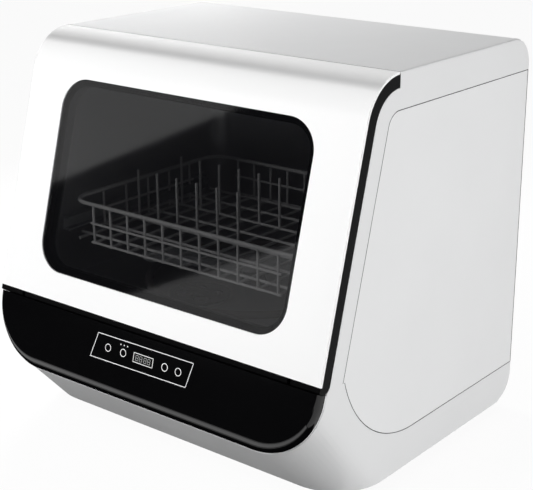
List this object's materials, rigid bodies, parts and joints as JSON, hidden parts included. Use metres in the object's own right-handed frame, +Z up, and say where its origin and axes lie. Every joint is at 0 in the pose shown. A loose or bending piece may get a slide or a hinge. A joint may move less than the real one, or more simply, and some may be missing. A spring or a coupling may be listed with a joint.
{
  "type": "countertop dishwasher",
  "caption": "Compact countertop dishwasher with a leaning drop-down door, a smoked window that fills most of it, a gloss touch panel and a sliding wire rack.",
  "frame": {"origin": "centre of the bounding box, on the plane that the feet stand on", "axes": "+X to the machine's right as seen by someone facing the door, +Y to the back, +Z up"},
  "size_m": [0.45, 0.393, 0.432],
  "materials": {
    "case_plastic": "satin moulded plastic",
    "panel_white": "satin",
    "door_white": "soft gloss",
    "gloss_black": "high gloss",
    "frame_plastic": "matt dark",
    "liner_plastic": "fine texture",
    "rail_plastic": "satin",
    "tube_grey": "satin",
    "valve_white": "satin",
    "smoked_glass": "smoked, polished",
    "display_glass": "polished",
    "tub_steel": "brushed",
    "filter_steel": "perforated, satin",
    "heater_steel": "heat tinted",
    "trim_silver": "satin silver",
    "zinc_sheet": "zinc plated",
    "screw_steel": "plated",
    "motor_metal": "zinc plated",
    "foot_rubber": "matt",
    "gasket_rubber": "matt",
    "circuit_board": "lacquered board",
    "coated_wire": "plastic coated wire"
  },
  "bodies": {
    "case": {"main_housing": "case_plastic", "side_panel_left": "panel_white", "side_panel_right": "panel_white", "rear_cover": "case_plastic", "rear_screws": "screw_steel", "base_pan": "zinc_sheet", "base_screws": "screw_steel", "feet": "foot_rubber", "front_frame": "frame_plastic", "panel_bezel": "trim_silver", "control_panel": "gloss_black", "display_window": "display_glass", "control_board": "circuit_board", "touch_springs": "screw_steel", "hinge_brackets": "zinc_sheet", "hinge_pins": "screw_steel", "tub": "tub_steel", "tub_gasket": "gasket_rubber", "rack_rails": "rail_plastic", "spray_riser": "frame_plastic", "heater": "heater_steel", "suction_elbow": "gasket_rubber", "wash_pump_housing": "frame_plastic", "wash_motor": "motor_metal", "drain_pump_housing": "frame_plastic", "drain_motor": "motor_metal", "drain_tube": "tube_grey", "inlet_valve": "valve_white", "fill_tube": "valve_white", "power_inlet": "gloss_black", "power_board": "circuit_board", "fan_housing": "frame_plastic", "latch_block": "frame_plastic", "door_switch": "gloss_black"},
    "door": {"door_skin": "door_white", "door_frame": "frame_plastic", "door_glass": "smoked_glass", "door_liner": "liner_plastic", "door_screws": "screw_steel", "latch_tongue": "screw_steel", "detergent_tray": "liner_plastic"},
    "detergent_lid": {"detergent_lid": "rail_plastic"},
    "filter": {"filter_cup": "filter_steel", "filter_grip": "frame_plastic"},
    "spray_arm": {"spray_arm": "rail_plastic", "spray_cap": "tube_grey"},
    "rack": {"rack_floor": "coated_wire", "rack_rim": "coated_wire", "rack_walls": "coated_wire", "rack_prongs": "coated_wire", "rack_glides": "tube_grey"},
    "cutlery_basket": {"cutlery_basket": "coated_wire", "basket_rim": "coated_wire", "basket_floor": "coated_wire", "basket_handle": "tube_grey"},
    "wash_impeller": {"wash_impeller": "frame_plastic"},
    "drain_impeller": {"drain_impeller": "frame_plastic"},
    "fan_wheel": {"fan_wheel": "frame_plastic"},
    "latch_plunger": {"latch_plunger": "screw_steel"}
  },
  "joints": [
    {"name": "door_hinge", "type": "hinge", "parent": "case", "child": "door", "pos_m": [0, -0.17135, 0.15303], "axis": [1, 0, 0], "range_deg": [0, 105]},
    {"name": "rack_slide", "type": "slide", "parent": "case", "child": "rack", "axis": [0, -1, 0], "range_m": [0, 0.15]},
    {"name": "basket_lift", "type": "slide", "parent": "rack", "child": "cutlery_basket", "axis": [0, 0, 1], "range_m": [0, 0.04]},
    {"name": "detergent_lid_slide", "type": "slide", "parent": "door", "child": "detergent_lid", "axis": [1, 0, 0], "range_m": [0, 0.042]},
    {"name": "spray_spin", "type": "hinge", "parent": "case", "child": "spray_arm", "pos_m": [0, -0.002, 0.173], "axis": [0, 0, 1], "continuous": true},
    {"name": "filter_twist", "type": "hinge", "parent": "case", "child": "filter", "pos_m": [-0.028, -0.062, 0.15], "axis": [0, 0, 1], "range_deg": [0, 60]},
    {"name": "wash_impeller_spin", "type": "hinge", "parent": "case", "child": "wash_impeller", "pos_m": [-0.028, -0.002, 0.072], "axis": [0, 1, 0], "continuous": true},
    {"name": "drain_impeller_spin", "type": "hinge", "parent": "case", "child": "drain_impeller", "pos_m": [0.03, -0.062, 0.13], "axis": [1, 0, 0], "continuous": true},
    {"name": "fan_spin", "type": "hinge", "parent": "case", "child": "fan_wheel", "pos_m": [-0.112, 0.17, 0.322], "axis": [0, 1, 0], "continuous": true},
    {"name": "latch_plunger_slide", "type": "slide", "parent": "case", "child": "latch_plunger", "axis": [1, 0, 0], "range_m": [0, 0.002], "stiffness_N_per_m": 400}
  ],
  "couplings": [
    {"joint": "rack_slide", "follows": "door_hinge", "m_per_rad": 0.08}
  ]
}
